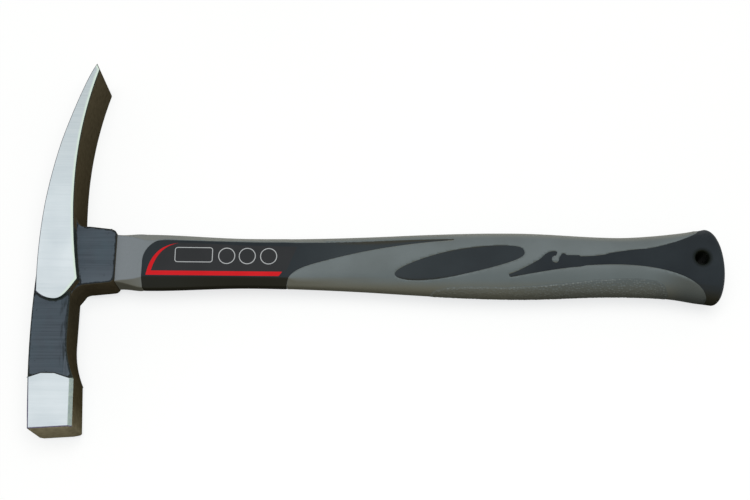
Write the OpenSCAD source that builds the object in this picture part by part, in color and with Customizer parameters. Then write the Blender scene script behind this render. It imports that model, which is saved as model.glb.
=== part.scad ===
// Brick hammer: a forged head with a curved chisel blade and a square poll, on a
// fibreglass-cored handle with a moulded jacket and soft overmouldings.
//
// The hammer lies on its side. X runs along the handle away from the head, Y runs up
// the blade and Z runs through the thickness. Shapes are drawn about a datum on the
// handle's axis at the back of the cheeks, and laid() moves them to the part's frame,
// whose origin is the middle of the footprint on the surface it lies on.

/* [Head] */
// Width of the blade along its cutting edge
blade_w = 33; // [30:0.5:38]
// Height of the cutting edge above the handle's axis
blade_reach = 98.4; // [92:0.2:104]
// How far the cutting edge leans towards the handle, from the back of the cheeks
edge_lean = 21.6; // [20.5:0.1:22.5]
// Radius of the blade's back
back_r = 270; // [262:1:285]
// Radius of the blade's inner side
inner_r = 208; // [195:1:225]
// Thickness through the cheeks at their lower end
cheek_t = 28.4; // [26.5:0.1:31]
// Distance of the cheeks' lower end below the handle's axis
cheek_drop = 22.5; // [21:0.5:27]
// Depth of the head from its back to the body's inner side
body_d = 16.3; // [15.5:0.1:19]
// Thickness of the body
body_t = 24; // [22:0.1:25]
// Distance of the striking face below the handle's axis
poll_drop = 84.4; // [79:0.2:93]
// Width of the poll's striking face
poll_w = 21; // [19:0.1:24]
// Thickness of the poll at its striking face
poll_t = 26; // [25:0.1:27]
// Length of the ground poll
poll_len = 24.5; // [21:0.5:28]
// Angle of the striking face
poll_tilt = 4; // [2:0.5:5]
// Chamfer along the poll's long edges on the handle's side
poll_chamfer = 1.6; // [0.8:0.1:3]
// Chamfer along the poll's long edges at its back
poll_edge = 0.7; // [0.4:0.1:2]
// Width of the chamfer round the striking face
face_chamfer = 3.5; // [1:0.1:4]
// How far that chamfer runs back from the striking face
face_back = 1.2; // [0.4:0.1:1.5]

/* [Socket] */
// Distance from the back of the cheeks to the socket's mouth
socket_len = 36.1; // [33:0.1:44]
// Height of the socket at its mouth
socket_h = 26.4; // [26:0.1:30]
// Thickness of the socket
socket_t = 20.2; // [19.4:0.1:22]
// How far the socket's middle lies above the handle's axis
socket_up = 0.4; // [0:0.1:1]
// How much each side of the socket widens towards the head
socket_draft = 1.4; // [0:0.1:2]
// Radius of the fillet under the blade
top_fillet = 4.5; // [2:0.1:6]
// Radius of the fillet over the body
low_fillet = 7; // [3:0.1:9]
// Radius of the socket's corners at the mouth
mouth_r = 2.4; // [1:0.1:3]
// Height of the eye
eye_h = 20; // [19.5:0.1:21.5]
// Thickness of the eye
eye_t = 13; // [12.6:0.1:14.6]
// Depth of the wide pocket at the back of the eye
pocket_d = 4; // [2:0.5:6]
// How much wider than the eye the pocket is on each side
pocket_rim = 1.8; // [1:0.1:2.5]

/* [Handle] */
// Length of the handle from the socket's mouth to its end
handle_len = 292.5; // [286:0.5:310]
// Height of the neck where it meets the socket
root_h = 23.6; // [22.5:0.1:25]
// Thickness of the neck
neck_t = 16.1; // [15.6:0.1:17.6]
// Greatest height of the neck
neck_h = 27.2; // [26:0.1:29]
// Distance from the mouth to the neck's greatest height
neck_at = 13.5; // [12:0.5:16]
// Height of the neck at its waist
waist_h = 23.8; // [23:0.1:26]
// Distance from the mouth to the neck's waist
waist_at = 66; // [55:1:80]
// Half height of the neck's flat facet
facet_h = 8.9; // [8.6:0.1:10]
// Half thickness of the neck's narrow edge facet
edge_t = 2.7; // [2:0.1:3.5]
// Distance from the mouth to the end of the neck's flat facets
flat_at = 88; // [86:0.5:96]
// Height of the grip at its crest
grip_h = 32; // [30:0.1:35]
// Thickness of the grip at its crest
grip_t = 25; // [23:0.1:28]
// Distance of the grip's crest from the handle's end
crest_back = 99.5; // [94.5:0.5:104]
// Height of the grip at its narrowest
slim_h = 28.8; // [27:0.1:31]
// Thickness of the grip at its narrowest
slim_t = 22; // [20.5:0.1:24.5]
// Distance of the grip's narrowest place from the handle's end
slim_back = 49.5; // [45:0.5:54]
// Height of the butt
butt_h = 37.2; // [34:0.1:40]
// How far the middle of the butt's rim lies above the handle's axis
butt_rise = 0.4; // [0:0.1:0.8]
// Thickness of the butt
butt_t = 25; // [23:0.1:28]
// Radius of the butt's end
end_r = 60; // [45:1:80]
// Rounding of the butt's rim
rim_r = 3; // [2:0.1:4]
// Diameter of the hang hole
hang_d = 6.6; // [5:0.1:8]
// Distance of the hang hole from the handle's end
hang_in = 10.9; // [9.5:0.1:13]
// Height of the hang hole above the handle's axis
hang_up = 1.9; // [0:0.1:2.4]
// Chamfer at each mouth of the hang hole
hang_chamfer = 0.8; // [0.3:0.1:1.2]

/* [Core and overmoulding] */
// Height of the fibreglass core
core_h = 17.6; // [16:0.1:18.4]
// Thickness of the fibreglass core
core_t = 10; // [9:0.1:10.6]
// Corner radius of the fibreglass core
core_r = 3.5; // [2:0.1:4.5]
// Depth of the core's end behind the head's back
core_inset = 1; // [0.6:0.1:2]
// Distance of the core's far end from the handle's end
core_short = 28; // [26:0.5:36]
// Depth of the resin behind the head's back
resin_inset = 0.4; // [0.3:0.1:0.5]
// Half thickness of the jacket under the neck's overmoulding
neck_bed = 6.5; // [6.2:0.1:7]
// Half thickness of the jacket under the thumb inlays
inlay_bed = 7.3; // [6.6:0.1:7.8]
// Half thickness of the jacket under the butt's tongues
tongue_bed = 8.5; // [7.5:0.1:9.5]
// Height of the jacket's tang inside the butt
tang_h = 20.4; // [20:0.1:24]
// Thickness of the jacket's tang inside the butt
tang_t = 14; // [13:0.1:17]
// Distance of the tang's end from the hang hole's edge
tang_gap = 4.5; // [3:0.1:6]
// Length of the thumb inlay
inlay_len = 63; // [56:0.5:66]
// Width of the thumb inlay
inlay_w = 12; // [10:0.1:14]
// Slope of the thumb inlay
inlay_slope = 11; // [8:0.5:12]
// Distance of the thumb inlay's middle before the grip's crest
inlay_back = 27.5; // [26:0.5:34]
// Thickness of the label film
label_t = 0.4; // [0.2:0.05:0.6]

/* [Hidden] */

arc_fn = 180;         // segments of the head's long arcs
small_fn = 48;        // segments of fillets, corners and holes
over = 30;            // reach of cutting shapes past what they cut
quarter = 10;         // ring points in a quarter of the handle's section
ring_n = 4 * quarter;

// Head, measured from the datum
back_y = -5;                        // where the blade's back is square to the handle
inner_y = 38;                       // where the blade's inner side is
inner_x = body_d - 1;
cheek_r = 285;                      // inner side of the cheeks below inner_y
taper_y = 25;                       // where the sides start to taper
bevel = [[-3.4, -9.8], [1.5, -3.1]]; // outer and inner slopes of the blade's end
body_back_r = 480;
body_back = -1.25;                  // back of the body, proud of the cheeks
body_back_y = -33;
hollow_r = 45;                      // inner side of the body above the poll
hollow_y = -40;
root_x = body_d + low_fillet;       // where the socket's sides start to draw in
tip = [edge_lean, blade_reach];
cheek_low = -cheek_drop;
bowl_top = cheek_low + 10;          // the cheeks' inner side is ground round below this height
bowl_back = cheek_low + 4.2;        // and their back below this one
bowl_w = inner_at(bowl_top);
face_mid = [body_d - 4.7, -poll_drop];
face_half = [cos(poll_tilt), sin(poll_tilt)] * poll_w / 2;
poll_left = face_mid - face_half;
poll_right = face_mid + face_half;
poll_flare = 1.2;                   // how much the poll leans towards the handle
back_slope = asin((body_back_y - poll_left[1] - poll_len / 2) / body_back_r);
body_top = 12;                      // the body ends inside the cheeks
poll_top = poll_len - poll_drop;
mouth = socket_len;

// Handle, measured from the mouth
end_x = mouth + handle_len;
crest_at = handle_len - crest_back;
slim_at = handle_len - slim_back;
end_y = -4;                         // height where the curved end reaches furthest
butt_at = handle_len - 8.5;         // where the butt reaches its full size
rise_from = butt_at - 9;            // where its middle starts to rise

// Inner side of the cheeks at height y, for y below inner_y
function inner_at(y) = inner_x + cheek_r - sqrt(pow(cheek_r, 2) - pow(inner_y - y, 2));

// Part frame
left_x = body_back;
low_y = face_mid[1] - (poll_w / 2 - face_chamfer) * sin(poll_tilt);
mid = [(left_x + mouth + end_line(0)) / 2, (blade_reach + low_y) / 2];
module laid() { translate([-mid[0], -mid[1], blade_w / 2]) children(); }

// ---- curves ----
function mix(a, b, t) = a + (b - a) * t;
function clamp01(t) = max(0, min(1, t));
function ease(x, from, to) = (1 - cos(180 * clamp01((x - from) / (to - from)))) / 2;
function curve(p, n) = [for (i = [0 : n - 1]) let (t = i / n, s = 1 - t)
    s * s * s * p[0] + 3 * s * s * t * p[1] + 3 * s * t * t * p[2] + t * t * t * p[3]];

// ---- handle's section, x measured from the mouth ----
function half_h(x) =
    x < neck_at ? mix(root_h, neck_h, ease(x, 0, neck_at)) / 2 :
    x < waist_at ? mix(neck_h, waist_h, ease(x, neck_at, waist_at)) / 2 :
    x < crest_at ? mix(waist_h, grip_h, ease(x, waist_at, crest_at)) / 2 :
    x < slim_at ? mix(grip_h, slim_h, ease(x, crest_at, slim_at)) / 2 :
    mix(slim_h, butt_h, pow(clamp01((x - slim_at) / (butt_at - slim_at)), 1.6)) / 2;
function half_t(x) =
    x < flat_at ? neck_t / 2 :
    x < crest_at ? mix(neck_t, grip_t, ease(x, flat_at, crest_at)) / 2 :
    x < slim_at ? mix(grip_t, slim_t, ease(x, crest_at, slim_at)) / 2 :
    mix(slim_t, butt_t, ease(x, slim_at, butt_at)) / 2;
function roundness(x) = ease(x, flat_at, flat_at + 55);
function edge_half(x) = mix(half_t(x) - 0.5, edge_t, clamp01(x / neck_at));
function facet_half(x) = mix(half_h(x) - 0.5, facet_h, clamp01(x / neck_at));
corner_power = 2 / 2.4; // squarish oval of the grip
function oval(a, b, w) = [a * pow(cos(w), corner_power), b * pow(sin(w), corner_power)];
function octagon(a, b, e, f, k) =
    k <= 2 ? [a, e * k / 2] :
    k <= 6 ? mix([a, e], [f, b], (k - 2) / 4) :
    [f * (10 - k) / 4, b];
function corner(x, in, k) = let (a = half_h(x) - in, b = half_t(x) - in)
    mix(octagon(a, b, edge_half(x) * b / half_t(x), facet_half(x) * a / half_h(x), k),
        oval(a, b, 90 * k / quarter), roundness(x));
function quadrant(x, in, i) = let (q = floor(i / quarter), r = i % quarter,
        p = corner(x, in, q % 2 == 0 ? r : quarter - r))
    [(q == 0 || q == 3 ? p[0] : -p[0]) + butt_rise * ease(x, rise_from, butt_at), q < 2 ? p[1] : -p[1]];
function ring(x, in) = [for (i = [0 : ring_n - 1]) let (p = quadrant(x, in, i)) [mouth + x, p[0], p[1]]];

// The butt's end: rings that follow the curved end and roll inwards
function end_line(y) = handle_len - end_r + sqrt(pow(end_r, 2) - pow(y - end_y, 2));
function end_ring(w) = [for (i = [0 : ring_n - 1])
    let (p = quadrant(butt_at, rim_r * (1 - cos(w)), i))
    [mouth + end_line(p[0]) - rim_r * (1 - sin(w)), p[0], p[1]]];

function around(j, i) = j * ring_n + i % ring_n;
module skinned(rings, apex) {
    n = len(rings);
    points = [for (r = rings) each r, apex[0], apex[1]];
    first = n * ring_n;
    sides = [for (j = [0 : n - 2], i = [0 : ring_n - 1])
        each [[around(j, i), around(j + 1, i + 1), around(j, i + 1)],
              [around(j, i), around(j + 1, i), around(j + 1, i + 1)]]];
    root = [for (i = [0 : ring_n - 1]) [first, around(0, i), around(0, i + 1)]];
    tail = [for (i = [0 : ring_n - 1]) [first + 1, around(n - 1, i + 1), around(n - 1, i)]];
    polyhedron(points, concat(sides, root, tail), convexity = 6);
}

neck_steps = [for (i = [0 : 3]) neck_at * i / 4];
waist_steps = [for (i = [0 : 6]) mix(neck_at, flat_at, i / 7)];
grip_steps = [for (i = [0 : 14]) mix(flat_at, crest_at, i / 15)];
slim_steps = [for (i = [0 : 6]) mix(crest_at, slim_at, i / 7)];
butt_steps = [for (i = [0 : 5]) mix(slim_at, butt_at - 4, i / 5)];
stations = concat(neck_steps, waist_steps, grip_steps, slim_steps, butt_steps);
module handle_form() {
    skinned(concat([for (x = stations) ring(x, 0)], [for (w = [0 : 22.5 : 67.5]) end_ring(w)]),
        [[mouth, 0, 0], [mouth + end_line(0), 0, 0]]);
}

// ---- outlines, x from the mouth ----
module through(height = 2 * over) {
    translate([mouth, 0, 0]) linear_extrude(height, center = true) children();
}
neck_left = neck_at - 1;       // where the neck overmoulding starts
neck_right = flat_at - 6.4;    // where it ends under the handle
neck_tip = crest_at - 30;      // where its upper tongue ends
// A point of the tongue: share of its length from neck_right, share of the neck's half height
function on_tongue(t, s) = [mix(neck_right, neck_tip, t), s * neck_h / 2];
// A point of the rest: share of the length from neck_left to neck_right, share as above
function on_neck(t, s) = [mix(neck_left, neck_right, t), s * neck_h / 2];
module neck_outline() {
    waist = on_neck(0.793, 0.625);
    shoulder = on_neck(0.164, 0.732);
    crook = on_tongue(0.242, -0.015);
    polygon(concat(
        [[neck_left, -over], [neck_right, -over]],
        curve([on_tongue(0, -1.03), on_tongue(0.019, -0.441), on_tongue(0.068, -0.294), crook], 12),
        curve([crook, on_tongue(0.491, 0.397), on_tongue(0.749, 0.651), on_tongue(1, 0.76)], 20),
        curve([on_tongue(1, 0.805), on_tongue(0.528, 0.794), on_tongue(0.28, 0.632), waist], 20),
        curve([waist, on_neck(0.571, 0.643), on_neck(0.357, 0.688), shoulder], 10),
        curve([shoulder, on_neck(0.071, 0.706), on_neck(0.002, 0.338), on_neck(0, -0.147)], 10)));
}
label_left = neck_left + 2.2;
label_right = flat_at - 0.8;
label_top = facet_h - 1.2;
label_low = 0.5 - facet_h;
module label_outline() {
    polygon(concat(
        [[label_left, label_low], [label_right - 9, label_low], [label_right - 7.6, label_low + 2.5],
         [label_right - 5, label_low + 2.7], [label_right, label_top - 1.2]],
        [[label_right - 25, label_top - 0.9], [label_left + 24, label_top]],
        curve([[label_left + 16, label_top + 0.2], [label_left + 6, label_top],
               [label_left + 0.6, 1], [label_left, label_low]], 12)));
}
inlay_mid = crest_at - inlay_back;
module inlay_outline() {
    // blunt towards the butt, more pointed towards the head
    edge = [for (w = [0 : 6 : 354])
        let (u = cos(w), s = sin(w), power = u > 0 ? 0.72 : 1, slim = u > 0 ? 0.05 : 0.16)
        [inlay_len / 2 * u, inlay_w / 2 * sign(s) * pow(abs(s), power) * (1 - slim * u) + 1 - u * u]];
    translate([inlay_mid, -1.4]) rotate(inlay_slope) polygon(edge);
}
// The butt's tongue, x back from the handle's end
hook = 81.4;                   // middle of the round notch
module butt_outline() {
    translate([handle_len, 0]) difference() {
        polygon(concat(
            curve([[-hook - 21.7, -7.2], [-hook - 18.5, -6.2], [-hook - 12.6, -3], [-hook - 7.5, 0.1]], 8),
            curve([[-hook - 7.5, 0.1], [-hook - 5.2, 1.9], [-hook - 3.8, 4.5], [-hook - 0.2, 4.5]], 6),
            [[-hook + 0.9, 4.3], [-hook + 1.1, 3.8], [-hook + 0.6, 2.7], [-hook + 0.2, 1.6]],
            [[-hook + 1.7, 0.7], [-hook + 2.5, 1.8], [-hook + 3.4, 3.1], [-hook + 4.1, 3.5]],
            [[-hook + 4.9, 3.2], [-hook + 5.6, 2.6], [-hook + 11.6, 2.7], [-hook + 12.2, 2.1]],
            curve([[-hook + 12.2, 2.1], [-hook + 22, 2.6], [-hook + 35, 6], [-hook + 46, 6.8]], 8),
            curve([[-hook + 46, 6.8], [-27, 8.2], [-19, 11.8], [-13, 15]], 8),
            curve([[-13, 15], [-11.6, 15.8], [-10.4, 17.6], [-10, 20]], 4),
            [[-10, over], [over, over], [over, -over], [-8.2, -over]],
            curve([[-8.2, -18.5], [-9.5, -10], [-26, -1.6], [-52, -1.6]], 18),
            curve([[-52, -1.6], [-58, -1.6], [-64, -2.2], [-68.2, -2.5]], 4),
            curve([[-69, -3], [-80, -4], [-92, -6.8], [-hook - 20.9, -8.5]], 10),
            [[-hook - 20.9, -8.5], [-hook - 21.8, -8.2], [-hook - 22, -7.6]]));
        translate([-hook + 0.2, 0.4]) circle(r = 1.75, $fn = small_fn);
    }
}

// ---- what is left of the jacket under the overmouldings ----
neck_skin = 1.7;                // thickness of the overmoulding under the neck
module neck_bar() {
    low = waist_h / 2 - neck_skin;
    bar = [[over, neck_bed], [2 - low, neck_bed], [-low, edge_t - 0.7]];
    along(mouth - 1, mouth + crest_at) polygon(concat(bar, [for (i = [2 : -1 : 0]) [bar[i][0], -bar[i][1]]]));
}
module butt_bar() {
    bed_end = end_x - core_short - 2;
    tang_end = end_x - hang_in - hang_d / 2 - tang_gap;
    translate([mouth, -over, -tongue_bed]) cube([bed_end - mouth, 2 * over, 2 * tongue_bed]);
    along(bed_end - 1, tang_end) round_box(tang_h, tang_t, core_r + 0.5);
}
module inlay_zone(side) {
    translate([0, 0, side * (inlay_bed + over / 2)]) through(over) inlay_outline();
}

// ---- head ----
module lobe_outline() {
    bottom = [0.46 * bowl_w, cheek_low];
    end = [bowl_w + 0.6, bowl_top + 0.9]; // just outside the cheeks' inner side
    difference() {
        intersection() {
            translate([back_r, back_y]) circle(r = back_r, $fn = 2 * arc_fn);
            polygon(concat([tip, tip + bevel[0] * 8, [-over, bowl_back]],
                curve([[0, bowl_back], [0.13 * bowl_w, cheek_low + 1.2], [0.3 * bowl_w, cheek_low], bottom], 8),
                curve([bottom, [0.68 * bowl_w, cheek_low], [0.8 * bowl_w, cheek_low + 4.2], end], 12),
                [end, [2 * over, end[1]], tip + bevel[1] * 12]));
        }
        intersection() {
            translate([inner_x + inner_r, inner_y]) circle(r = inner_r, $fn = 2 * arc_fn);
            translate([0, inner_y]) square([over * 3, blade_reach]);
        }
        intersection() {
            translate([inner_x + cheek_r, inner_y]) circle(r = cheek_r, $fn = 2 * arc_fn);
            translate([0, cheek_low]) square([over * 3, inner_y - cheek_low]);
        }
    }
}
module lobe() {
    side = [[blade_reach + 5, blade_w / 2], [taper_y, blade_w / 2], [cheek_low - 2, cheek_t / 2]];
    intersection() {
        linear_extrude(blade_w + 2, center = true) lobe_outline();
        rotate([90, 0, 90]) linear_extrude(4 * over, center = true)
            polygon(concat(side, [for (i = [2 : -1 : 0]) [side[i][0], -side[i][1]]]));
    }
}

// What lies behind the striking face, seen along one of its edges: a face of this
// half width with its chamfers, and all the metal above it
module behind_face(half) {
    flat = half - face_chamfer;
    reach = 3 * over;
    polygon([[-flat, 0], [flat, 0], [flat + reach * face_chamfer, reach * face_back],
        [-flat - reach * face_chamfer, reach * face_back]]);
}
module body_outline() {
    top = [poll_right[0] - poll_flare, poll_top];
    difference() {
        intersection() {
            translate([body_back + body_back_r, body_back_y]) circle(r = body_back_r, $fn = 2 * arc_fn);
            polygon([[-over, body_top], [body_d, body_top], [body_d, hollow_y], [top[0], hollow_y],
                top, mix(top, poll_right, 1.5), [-over, 1.5 * poll_right[1]]]);
            translate(face_mid) rotate(poll_tilt) behind_face(poll_w / 2);
        }
        intersection() {
            translate([body_d + hollow_r, hollow_y]) circle(r = hollow_r, $fn = arc_fn);
            translate([body_d, poll_top]) square([over, hollow_y - poll_top]);
        }
    }
}

// A chamfer of size c along the poll's edge through p, which turns away from the Y axis
// by angle and lies on the side z (1 or -1) of the thickness
module chamfer_bar(p, angle, z, c) {
    lean = atan((poll_t - body_t) / 2 / poll_len);
    translate([p[0], p[1], z * poll_t / 2]) rotate(angle) rotate([-z * lean, 0, 0]) rotate([0, 45, 0])
        cube([c * sqrt(2), 3 * over, c * sqrt(2)], center = true);
}
module body() {
    low = -poll_drop;
    side = [[body_top + 5, body_t / 2], [poll_top, body_t / 2], [low, poll_t / 2],
        [2 * low - poll_top, poll_t - body_t / 2]];
    difference() {
        intersection() {
            linear_extrude(2 * over, center = true) body_outline();
            rotate([90, 0, 90]) linear_extrude(4 * over, center = true)
                polygon(concat(side, [for (i = [3 : -1 : 0]) [side[i][0], -side[i][1]]]));
            translate(face_mid) rotate(poll_tilt) rotate([0, 90, 0]) linear_extrude(4 * over, center = true)
                behind_face(poll_t / 2);
        }
        intersection() {
            union() for (z = [-1, 1]) {
                chamfer_bar(poll_right, atan(poll_flare / poll_len), z, poll_chamfer);
                chamfer_bar(poll_left, back_slope, z, poll_edge);
            }
            translate([-over, poll_top - 60, -over]) cube([3 * over, 60, 2 * over]);
        }
    }
}

module round_box(h, t, r) {
    square([h - 2 * r, t], center = true);
    square([h, t - 2 * r], center = true);
    for (y = [-1, 1], z = [-1, 1]) translate([y * (h / 2 - r), z * (t / 2 - r)]) circle(r = r, $fn = small_fn);
}
module fillet(r) {
    difference() {
        translate([-1, -1]) square(r + 1);
        translate([r, r]) circle(r = r, $fn = small_fn);
    }
}
module along(from, to) {
    translate([from, 0, 0]) rotate([90, 0, 90]) linear_extrude(to - from) children();
}
module socket() {
    m = socket_h / 2;
    r = m + socket_draft;
    translate([0, socket_up, 0]) linear_extrude(socket_t, center = true) {
        difference() {
            polygon([[5, -r], [root_x, -r], [mouth, -m], [mouth, m], [root_x, r], [5, r]]);
            for (s = [-1, 1]) scale([1, s]) translate([mouth, m]) rotate(180) fillet(mouth_r);
        }
        translate([inner_at(r), r]) fillet(top_fillet);
        translate([body_d, -r]) scale([1, -1]) fillet(low_fillet);
    }
}
module eye_form() {
    along(-over, mouth + 1) round_box(eye_h, eye_t, eye_t / 2 - 1.5);
    along(-over, pocket_d) round_box(eye_h + 2 * pocket_rim, eye_t + 2 * pocket_rim, eye_t / 2);
}
module head() {
    color("lightsteelblue") laid() difference() {
        union() {
            lobe();
            body();
            socket();
        }
        eye_form();
    }
}

// ---- handle pieces ----
module core_form() { round_box(core_h, core_t, core_r); }
module fibreglass_core() {
    color("khaki") laid() along(core_inset, end_x - core_short) core_form();
}
module eye_resin() {
    color("dimgray") laid() difference() {
        intersection() {
            eye_form();
            along(resin_inset, mouth) square(2 * over, center = true);
        }
        along(0, mouth + 1) core_form();
    }
}
module handle_jacket() {
    color("slategray") laid() difference() {
        handle_form();
        difference() {
            through() neck_outline();
            neck_bar();
        }
        difference() {
            through() butt_outline();
            butt_bar();
        }
        for (side = [-1, 1]) inlay_zone(side);
        along(mouth - 1, end_x - core_short) core_form();
    }
}

// The label's film at the surface of the neck's flat facet, raised by extra to cut its recess
module label_film(side, extra = 0) {
    translate([0, 0, side * (neck_t - label_t + extra) / 2]) through(label_t + extra) label_outline();
}
module neck_overmould() {
    color("darkslategray") laid() difference() {
        intersection() {
            handle_form();
            through() neck_outline();
        }
        neck_bar();
        for (side = [-1, 1]) label_film(side, 2);
    }
}
module upper_label() { color("black") laid() label_film(1); }
module lower_label() { color("black") laid() label_film(-1); }
module thumb_inlay(side) {
    color("darkslategray") laid() intersection() {
        handle_form();
        inlay_zone(side);
    }
}
module upper_thumb_inlay() { thumb_inlay(1); }
module lower_thumb_inlay() { thumb_inlay(-1); }

// The hang hole, with a chamfer at each mouth
module hang_hole() {
    face = half_t(handle_len - hang_in);
    translate([end_x - hang_in, hang_up, 0]) {
        cylinder(d = hang_d, h = 2 * over, center = true, $fn = small_fn);
        for (side = [-1, 1]) scale([1, 1, side]) translate([0, 0, face - hang_chamfer - 0.5])
            cylinder(r1 = hang_d / 2, r2 = hang_d / 2 + hang_chamfer + 2, h = hang_chamfer + 2, $fn = small_fn);
    }
}
module butt_overmould() {
    color("darkslategray") laid() difference() {
        intersection() {
            handle_form();
            through() butt_outline();
        }
        butt_bar();
        hang_hole();
    }
}

head();
eye_resin();
fibreglass_core();
handle_jacket();
neck_overmould();
upper_label();
lower_label();
upper_thumb_inlay();
lower_thumb_inlay();
butt_overmould();
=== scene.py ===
"""Brick hammer: a forged head with a ground blade and poll, and a moulded two-colour handle."""
from math import atan2, cos, pi, radians, sin, sqrt

import bpy
from mathutils import Matrix, Vector, noise as noise_of
from mathutils.bvhtree import BVHTree
from mathutils.kdtree import KDTree


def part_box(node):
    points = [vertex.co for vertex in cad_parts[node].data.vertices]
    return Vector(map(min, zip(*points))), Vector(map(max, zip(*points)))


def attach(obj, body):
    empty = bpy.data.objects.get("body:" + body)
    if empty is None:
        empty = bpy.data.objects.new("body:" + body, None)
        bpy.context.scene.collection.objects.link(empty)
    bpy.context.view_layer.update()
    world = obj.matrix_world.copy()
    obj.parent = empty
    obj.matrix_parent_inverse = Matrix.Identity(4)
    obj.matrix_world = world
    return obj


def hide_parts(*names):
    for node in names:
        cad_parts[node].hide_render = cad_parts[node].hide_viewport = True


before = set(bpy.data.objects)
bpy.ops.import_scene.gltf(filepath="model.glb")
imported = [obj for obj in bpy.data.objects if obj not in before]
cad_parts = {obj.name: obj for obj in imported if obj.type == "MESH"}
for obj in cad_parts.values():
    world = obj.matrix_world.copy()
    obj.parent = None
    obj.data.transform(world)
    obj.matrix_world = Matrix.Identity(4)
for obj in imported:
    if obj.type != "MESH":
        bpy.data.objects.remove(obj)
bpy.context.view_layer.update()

# -------------------------------- places
MM = 0.001
core_low, core_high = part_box("fibreglass_core")
head_low, head_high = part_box("head")
AXIS_Y = (core_low.y + core_high.y) / 2        # the handle's axis
MID_Z = (core_low.z + core_high.z) / 2         # middle of the thickness
MOUTH_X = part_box("eye_resin")[1].x             # the socket's mouth
END_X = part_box("butt_overmould")[1].x          # the butt's end
HANDLE = (END_X - MOUTH_X) / MM                # the handle's length from the mouth, in mm
SOCKET = 36.1                                  # from the back of the cheeks to the mouth, in mm
BACK_X = MOUTH_X - SOCKET * MM                 # the back of the cheeks


def on_handle(x, y, z=0.0):
    """A point in millimetres from the socket's mouth, on the handle's axis."""
    return Vector((MOUTH_X + x * MM, AXIS_Y + y * MM, MID_Z + z * MM))


def on_head(x, y, z=0.0):
    """A point in millimetres from the back of the cheeks, on the handle's axis."""
    return Vector((BACK_X + x * MM, AXIS_Y + y * MM, MID_Z + z * MM))


# -------------------------------- curves
def mix(a, b, t):
    return a + (b - a) * t


def clamp(t):
    return max(0.0, min(1.0, t))


def ease(x, low, high):
    return (1 - cos(pi * clamp((x - low) / (high - low)))) / 2


def bezier(points, steps):
    """Points of a cubic curve, without its last one."""
    out = []
    for i in range(steps):
        t = i / steps
        s = 1 - t
        w = (s ** 3, 3 * s * s * t, 3 * s * t * t, t ** 3)
        out.append(tuple(sum(k * p[axis] for k, p in zip(w, points)) for axis in (0, 1)))
    return out


# -------------------------------- modelling by hand
def pick(piece):
    bpy.ops.object.select_all(action="DESELECT")
    piece.select_set(True)
    bpy.context.view_layer.objects.active = piece


def edit(piece, kind="VERT"):
    pick(piece)
    bpy.ops.object.mode_set(mode="EDIT")
    bpy.ops.mesh.select_mode(type=kind)
    bpy.ops.mesh.select_all(action="DESELECT")


def edit_all(piece):
    edit(piece)
    bpy.ops.mesh.select_all(action="SELECT")


def leave():
    bpy.ops.object.mode_set(mode="OBJECT")


def face_outwards():
    """Turns every face of the mesh being edited outwards, and leaves it."""
    bpy.ops.mesh.select_all(action="SELECT")
    bpy.ops.mesh.normals_make_consistent(inside=False)
    leave()


def modify(piece, kind, **settings):
    """Adds a modifier and applies it."""
    modifier = piece.modifiers.new(kind.lower(), kind)
    for key, value in settings.items():
        setattr(modifier, key, value)
    pick(piece)
    bpy.ops.object.modifier_apply(modifier=modifier.name)


def cut(piece, tool, operation="DIFFERENCE"):
    """Cuts, joins or trims a piece with a tool, and removes the tool."""
    modify(piece, "BOOLEAN", operation=operation, object=tool, solver="MANIFOLD")
    bpy.data.objects.remove(tool)


def twin(piece, name):
    """A copy with its own mesh."""
    copy = piece.copy()
    copy.data = piece.data.copy()
    copy.name = copy.data.name = name
    copy.parent = None
    bpy.context.scene.collection.objects.link(copy)
    return copy


def prism(name, outline, low, high):
    """A flat outline on the handle, pulled up into a solid between two heights."""
    bpy.ops.mesh.primitive_circle_add(vertices=len(outline), radius=0.02, fill_type="NGON")
    piece = bpy.context.object
    piece.name = piece.data.name = name
    for vertex, (x, y) in zip(piece.data.vertices, outline):
        vertex.co = on_handle(x, y, low)
    edit_all(piece)
    bpy.ops.mesh.extrude_region_move(TRANSFORM_OT_translate={"value": (0, 0, (high - low) * MM)})
    face_outwards()
    return piece


def block(name, low, high):
    """A box between two corners, each (x, y, height)."""
    corners = [(low[0], low[1]), (high[0], low[1]), (high[0], high[1]), (low[0], high[1])]
    return prism(name, corners, low[2], high[2])


# -------------------------------- the handle's form, in mm
ROOT_H, NECK_H, WAIST_H, GRIP_H, SLIM_H, BUTT_H = 23.6, 27.2, 23.8, 32.0, 28.8, 37.2
BUTT_RISE = 0.4                        # the butt's middle lies this far above the axis
NECK_T, GRIP_T, SLIM_T, BUTT_T = 16.1, 25.0, 22.0, 25.0
NECK_AT, WAIST_AT = 13.5, 66.0         # where the neck is highest, and where its waist is
FLAT_AT = 88.0                         # where the neck's facets end
CREST_AT, SLIM_AT, BUTT_AT = HANDLE - 99.5, HANDLE - 49.5, HANDLE - 8.5
FACET_H, EDGE_T = 8.9, 2.7             # half sizes of the neck's flat and edge facets
END_R, END_Y = 60.0, -4.0              # radius of the butt's end, and the height of its centre
RIM_R = 3.0                            # rounding of the butt's rim
FLAT_Z = NECK_T / 2                    # height of the neck's flat facet


def half_h(x):
    """Half the height of the handle's section at x."""
    if x < NECK_AT:
        return mix(ROOT_H, NECK_H, ease(x, 0, NECK_AT)) / 2
    if x < WAIST_AT:
        return mix(NECK_H, WAIST_H, ease(x, NECK_AT, WAIST_AT)) / 2
    if x < CREST_AT:
        return mix(WAIST_H, GRIP_H, ease(x, WAIST_AT, CREST_AT)) / 2
    if x < SLIM_AT:
        return mix(GRIP_H, SLIM_H, ease(x, CREST_AT, SLIM_AT)) / 2
    return mix(SLIM_H, BUTT_H, clamp((x - SLIM_AT) / (BUTT_AT - SLIM_AT)) ** 1.6) / 2


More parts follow.
